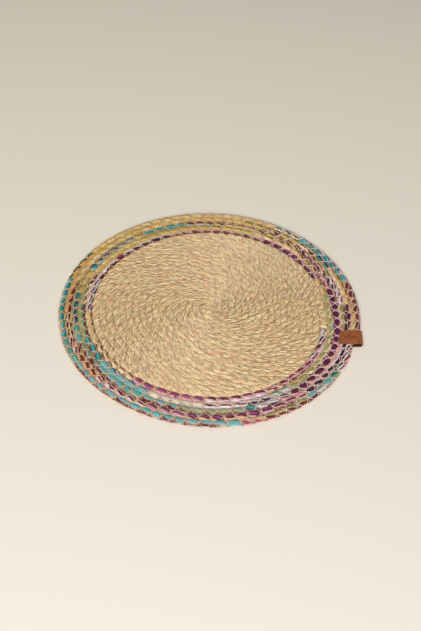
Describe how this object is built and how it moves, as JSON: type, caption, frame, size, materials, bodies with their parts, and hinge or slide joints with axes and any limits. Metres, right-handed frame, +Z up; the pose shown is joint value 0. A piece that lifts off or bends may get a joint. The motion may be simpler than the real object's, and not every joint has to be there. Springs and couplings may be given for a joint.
{
  "type": "round placemat",
  "caption": "Round table placemat: a flat spiral of plain jute cord, a border of fabric strip cord, and a bare leather tab folded over the rim.",
  "frame": {"origin": "on the table surface, under the centre of the coil", "axes": "+Z up from the table through the mat; +X from the centre towards the side of the rim that carries the leather tab"},
  "size_m": [0.3779, 0.3758, 0.007],
  "materials": {
    "natural_jute": "undyed braided jute, matt with a slight silky sheen",
    "fabric_strips": "cotton and silky recycled fabric strips in mixed colours, bound with a pale thread",
    "brown_leather": "tan brown smooth leather, semi-matt"
  },
  "bodies": {
    "root": {"jute_coil": "natural_jute", "border_coil": "fabric_strips", "leather_tab": "brown_leather"}
  },
  "joints": []
}
